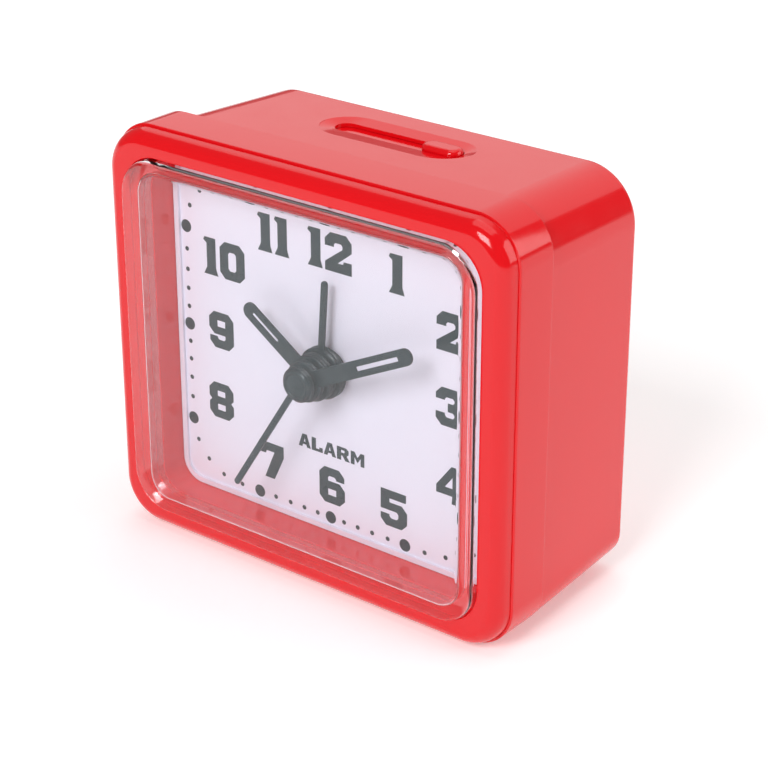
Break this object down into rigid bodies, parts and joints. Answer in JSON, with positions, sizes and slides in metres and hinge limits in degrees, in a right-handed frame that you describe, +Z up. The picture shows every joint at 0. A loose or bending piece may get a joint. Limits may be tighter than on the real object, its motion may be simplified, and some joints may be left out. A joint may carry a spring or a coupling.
{
  "type": "travel alarm clock",
  "caption": "Small rounded-box quartz alarm clock with a raised clear crystal, numbered dial, centre hands, top slide switch and rear setting knobs.",
  "frame": {"origin": "on the ground, at the middle of the overall width and depth", "axes": "+X to the right as seen from the front, +Y from the dial to the back, +Z up"},
  "size_m": [0.066, 0.033, 0.0585],
  "materials": {
    "red_shell": "glossy moulded red",
    "clear": "clear polished plastic",
    "dial_face": "satin white print",
    "hand_black": "satin black paint",
    "black_plastic": "moulded black",
    "white_plastic": "natural moulded",
    "brass": "turned",
    "steel": "plated",
    "plated": "nickel plated",
    "magnet": "sintered",
    "cell_jacket": "printed jacket",
    "copper": "enamelled wire",
    "board": "lacquered laminate",
    "resin": "cured resin"
  },
  "bodies": {
    "case": {"rear_case": "red_shell", "front_bezel": "red_shell", "crystal": "clear", "dial": "dial_face", "front_plate": "black_plastic", "back_plate": "black_plastic", "battery": "cell_jacket", "battery_plate": "plated", "battery_spring": "plated", "slider_guide": "black_plastic", "stator": "steel", "coil_bobbin": "black_plastic", "coil_winding": "copper", "circuit_board": "board", "clock_chip": "resin", "quartz_can": "steel", "capacitor": "cell_jacket", "piezo_disc": "brass", "movement_screws": "steel", "mounting_screws": "steel", "board_screws": "steel"},
    "second": {"second_hand": "hand_black", "second_wheel": "white_plastic"},
    "minute": {"minute_hand": "hand_black", "cannon_pinion": "brass", "slip_washer": "brass"},
    "hour": {"hour_hand": "hand_black", "hour_wheel": "white_plastic"},
    "alarm": {"alarm_hand": "hand_black", "alarm_wheel": "white_plastic"},
    "motion": {"motion_wheel": "white_plastic"},
    "centre": {"centre_wheel": "white_plastic"},
    "third": {"third_wheel": "white_plastic"},
    "fifth": {"fifth_wheel": "white_plastic"},
    "rotor": {"rotor_pinion": "white_plastic", "rotor_magnet": "magnet"},
    "time_set": {"time_set_arbor": "white_plastic", "time_set_knob": "black_plastic"},
    "alarm_set": {"alarm_set_arbor": "white_plastic", "alarm_set_knob": "black_plastic"},
    "slider": {"alarm_slider": "red_shell"},
    "door": {"battery_door": "red_shell"}
  },
  "joints": [
    {"name": "second_turn", "type": "hinge", "parent": "case", "child": "second", "pos_m": [0, 0, 0.02925], "axis": [0, 1, 0], "continuous": true},
    {"name": "minute_turn", "type": "hinge", "parent": "case", "child": "minute", "pos_m": [0, 0, 0.02925], "axis": [0, 1, 0], "continuous": true},
    {"name": "alarm_turn", "type": "hinge", "parent": "case", "child": "alarm", "pos_m": [0, 0, 0.02925], "axis": [0, 1, 0], "continuous": true},
    {"name": "hour_turn", "type": "hinge", "parent": "case", "child": "hour", "pos_m": [0, 0, 0.02925], "axis": [0, 1, 0], "continuous": true},
    {"name": "motion_turn", "type": "hinge", "parent": "case", "child": "motion", "pos_m": [0.00677, 0, 0.03171], "axis": [0, 1, 0], "continuous": true},
    {"name": "time_set_turn", "type": "hinge", "parent": "case", "child": "time_set", "pos_m": [0.01304, 0, 0.03525], "axis": [0, 1, 0], "continuous": true},
    {"name": "alarm_set_turn", "type": "hinge", "parent": "case", "child": "alarm_set", "pos_m": [-0.01039, 0, 0.03525], "axis": [0, 1, 0], "continuous": true},
    {"name": "third_turn", "type": "hinge", "parent": "case", "child": "third", "pos_m": [0, 0, 0.03825], "axis": [0, 1, 0], "continuous": true},
    {"name": "centre_turn", "type": "hinge", "parent": "case", "child": "centre", "pos_m": [0, 0, 0.02925], "axis": [0, 1, 0], "continuous": true},
    {"name": "fifth_turn", "type": "hinge", "parent": "case", "child": "fifth", "pos_m": [0.00709, 0, 0.0305], "axis": [0, 1, 0], "continuous": true},
    {"name": "rotor_turn", "type": "hinge", "parent": "case", "child": "rotor", "pos_m": [0.01385, 0, 0.02869], "axis": [0, 1, 0], "continuous": true},
    {"name": "slider_slide", "type": "slide", "parent": "case", "child": "slider", "axis": [-1, 0, 0], "range_m": [0, 0.0144]},
    {"name": "door_slide", "type": "slide", "parent": "case", "child": "door", "axis": [0, 1, 0], "range_m": [0, 0.03]}
  ],
  "couplings": [
    {"joint": "hour_turn", "follows": "minute_turn", "ratio": 0.083333},
    {"joint": "motion_turn", "follows": "minute_turn", "ratio": -0.33333},
    {"joint": "time_set_turn", "follows": "minute_turn", "ratio": 1},
    {"joint": "alarm_set_turn", "follows": "alarm_turn", "ratio": -1},
    {"joint": "third_turn", "follows": "second_turn", "ratio": -0.125},
    {"joint": "centre_turn", "follows": "second_turn", "ratio": 0.016667},
    {"joint": "fifth_turn", "follows": "second_turn", "ratio": -5},
    {"joint": "rotor_turn", "follows": "second_turn", "ratio": 30}
  ]
}
